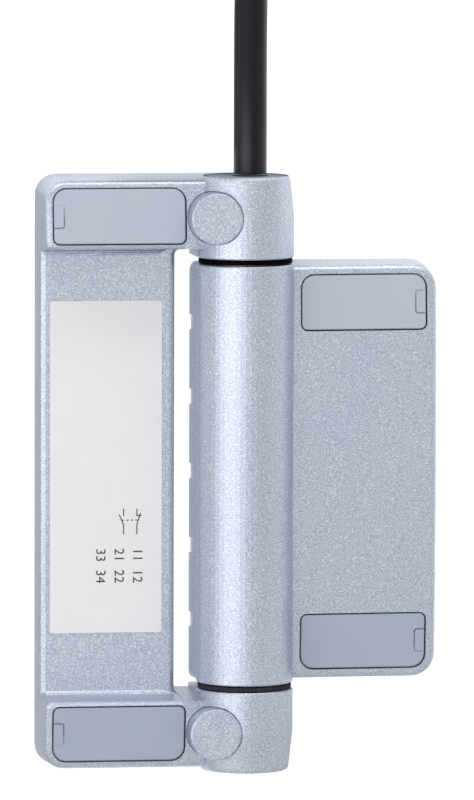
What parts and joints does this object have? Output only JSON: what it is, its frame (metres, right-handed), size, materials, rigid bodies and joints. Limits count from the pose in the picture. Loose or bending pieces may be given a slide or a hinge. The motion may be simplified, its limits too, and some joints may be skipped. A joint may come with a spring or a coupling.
{
  "type": "safety hinge switch",
  "caption": "Safety hinge switch: two silver die-cast leaves with grey screw covers, a cam contact block in the barrel and a black cable from the upper knuckle.",
  "frame": {"origin": "bottom centre of the object without its cable; the mounting faces lie at z = 0", "axes": "+Y along the hinge axis to the cable end, +X from the switch side to the door side, +Z out of the front"},
  "size_m": [0.1081, 0.2779, 0.0313],
  "materials": {
    "silver_lacquer": "fine metallic silver lacquer on zinc die casting",
    "grey_cover_plastic": "smooth satin grey plastic",
    "grey_end_plate": "smooth satin grey plastic",
    "white_label": "white printed film, satin",
    "black_rubber": "matt",
    "black_cable": "satin black cable jacket",
    "bright_steel": "bright zinc-plated",
    "insert_aluminium": "turned",
    "bush_plastic": "natural acetal",
    "white_cam_plastic": "white acetal",
    "black_carrier_plastic": "moulded",
    "contact_brass": "stamped strip with contact tips"
  },
  "bodies": {
    "switch_side": {"switch_housing": "silver_lacquer", "upper_screw_cover": "grey_cover_plastic", "lower_screw_cover": "grey_cover_plastic", "rating_label": "white_label", "cable_end_plate": "grey_end_plate", "lower_end_plate": "grey_end_plate", "cable_seal": "black_rubber", "upper_lock_screw": "bright_steel", "lower_lock_screw": "bright_steel", "upper_seal_ring": "black_rubber", "lower_seal_ring": "black_rubber", "switch_insert": "insert_aluminium", "lower_hinge_pin": "bright_steel", "contact_carrier": "black_carrier_plastic", "fixed_contact_11": "contact_brass", "fixed_contact_12": "contact_brass", "fixed_contact_21": "contact_brass", "fixed_contact_22": "contact_brass", "fixed_contact_33": "contact_brass", "fixed_contact_34": "contact_brass", "return_spring": "bright_steel", "core_wires": "black_cable", "connection_cable": "black_cable", "cable_coil": "black_cable", "near_cable_tie": "black_cable", "far_cable_tie": "black_cable", "core_ends": "black_cable"},
    "door_side": {"door_leaf": "silver_lacquer", "door_upper_cover": "grey_cover_plastic", "door_lower_cover": "grey_cover_plastic", "upper_bush": "bush_plastic", "lower_bush": "bush_plastic", "camshaft": "white_cam_plastic", "cam_pin": "bright_steel"},
    "contact_slide": {"plunger": "white_cam_plastic", "closed_bridge_a": "contact_brass", "closed_bridge_b": "contact_brass", "open_bridge": "contact_brass"}
  },
  "joints": [
    {"name": "door_hinge", "type": "hinge", "parent": "switch_side", "child": "door_side", "pos_m": [0.00112, 0, 0.0108], "axis": [0, -1, 0], "range_deg": [0, 180]},
    {"name": "contact_travel", "type": "slide", "parent": "switch_side", "child": "contact_slide", "axis": [0, 1, 0], "range_m": [0, 0.0024], "deforming": ["return_spring"]}
  ],
  "couplings": [
    {"joint": "contact_travel", "follows": "door_hinge", "m_per_rad": 0.00076394}
  ]
}
